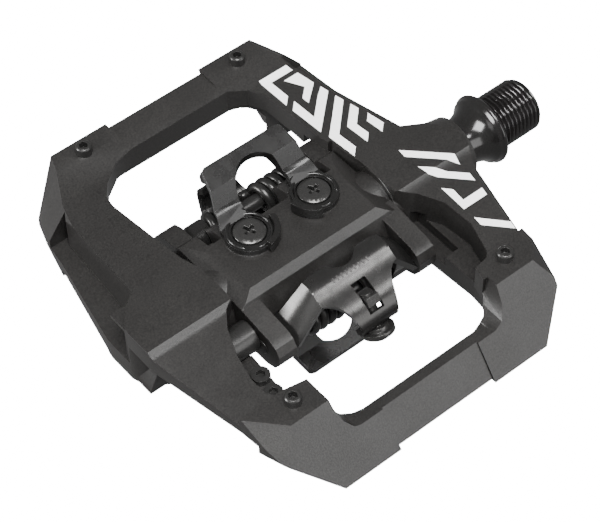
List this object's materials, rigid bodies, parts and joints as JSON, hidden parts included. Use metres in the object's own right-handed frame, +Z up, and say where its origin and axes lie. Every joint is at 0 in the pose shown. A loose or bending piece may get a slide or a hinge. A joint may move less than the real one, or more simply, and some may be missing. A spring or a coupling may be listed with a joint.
{
  "type": "clipless pedal",
  "caption": "Platform bicycle pedal with a spring-loaded cleat binding on both faces: cage, hoops, sprung claws, traction pins and a threaded spindle on bearings.",
  "frame": {"origin": "spindle axis at the shoulder face that seats on the crank arm", "axes": "+X along the spindle toward the crank, +Y forward on the top side, +Z up; +Y is the longer side of the platform and +Z its thickness"},
  "size_m": [0.1228, 0.1106, 0.0394],
  "materials": {
    "anodised": "black bead-blasted anodised",
    "pin_steel": "black zinc, satin",
    "black_steel": "glossy black electro-coat",
    "screw_steel": "black zinc, satin",
    "cast_steel": "dark nickel, satin",
    "spring_steel": "oiled black",
    "nut_brass": "plain",
    "spindle_steel": "glossy black",
    "seal_rubber": "matt",
    "bushing_polymer": "matt",
    "bearing_steel": "ground",
    "cap_polymer": "matt black",
    "white_print": "pad-printed white ink"
  },
  "bodies": {
    "pedal_body": {"cage": "anodised", "traction_pins_top": "pin_steel", "traction_pins_bottom": "pin_steel", "cage_screws": "pin_steel", "binding_body": "anodised", "hoop_top": "black_steel", "hoop_bottom": "black_steel", "hoop_screws_top": "screw_steel", "hoop_screws_bottom": "screw_steel", "claw_pin_top": "pin_steel", "claw_pin_bottom": "pin_steel", "claw_spring_top": "spring_steel", "claw_spring_bottom": "spring_steel", "inner_seal": "seal_rubber", "bushing": "bushing_polymer", "bearing_outer_races": "bearing_steel", "retaining_collar": "cap_polymer", "body_bolts": "pin_steel"},
    "spindle_group": {"spindle": "spindle_steel", "bearing_inner_races": "bearing_steel", "lock_nut": "bearing_steel", "thrust_washer": "bearing_steel"},
    "ball_set": {"bearing_balls": "bearing_steel"},
    "claw_top_body": {"claw_top": "cast_steel"},
    "claw_bottom_body": {"claw_bottom": "cast_steel"},
    "screw_top_body": {"tension_screw_top": "screw_steel"},
    "screw_bottom_body": {"tension_screw_bottom": "screw_steel"},
    "nut_top_body": {"tension_nut_top": "nut_brass"},
    "nut_bottom_body": {"tension_nut_bottom": "nut_brass"}
  },
  "joints": [
    {"name": "spindle_spin", "type": "hinge", "parent": "pedal_body", "child": "spindle_group", "pos_m": [0, 0, 0], "axis": [1, 0, 0], "continuous": true},
    {"name": "ball_orbit", "type": "hinge", "parent": "pedal_body", "child": "ball_set", "pos_m": [0, 0, 0], "axis": [1, 0, 0], "continuous": true},
    {"name": "claw_top_pivot", "type": "hinge", "parent": "pedal_body", "child": "claw_top_body", "pos_m": [-0.0607, -0.0175, 0], "axis": [1, 0, 0], "range_deg": [0, 14], "stiffness_Nm_per_rad": 3, "springref_deg": -22.92},
    {"name": "claw_bottom_pivot", "type": "hinge", "parent": "pedal_body", "child": "claw_bottom_body", "pos_m": [-0.0607, 0.0175, 0], "axis": [1, 0, 0], "range_deg": [0, 14], "stiffness_Nm_per_rad": 3, "springref_deg": -22.92},
    {"name": "tension_screw_top_turn", "type": "hinge", "parent": "claw_top_body", "child": "screw_top_body", "pos_m": [-0.0607, -0.0296, 0.00075], "axis": [0, 0.4226, 0.9063], "range_deg": [0, 756]},
    {"name": "tension_screw_bottom_turn", "type": "hinge", "parent": "claw_bottom_body", "child": "screw_bottom_body", "pos_m": [-0.0607, 0.0296, -0.00075], "axis": [0, -0.4226, -0.9063], "range_deg": [0, 756]},
    {"name": "tension_nut_top_travel", "type": "slide", "parent": "claw_top_body", "child": "nut_top_body", "axis": [0, 0.4226, 0.9063], "range_m": [-0.001, 0]},
    {"name": "tension_nut_bottom_travel", "type": "slide", "parent": "claw_bottom_body", "child": "nut_bottom_body", "axis": [0, -0.4226, -0.9063], "range_m": [-0.001, 0]}
  ],
  "couplings": [
    {"joint": "ball_orbit", "follows": "spindle_spin", "ratio": 0.4265},
    {"joint": "tension_screw_top_turn", "follows": "tension_nut_top_travel", "rad_per_m": -12566},
    {"joint": "tension_screw_bottom_turn", "follows": "tension_nut_bottom_travel", "rad_per_m": -12566}
  ]
}
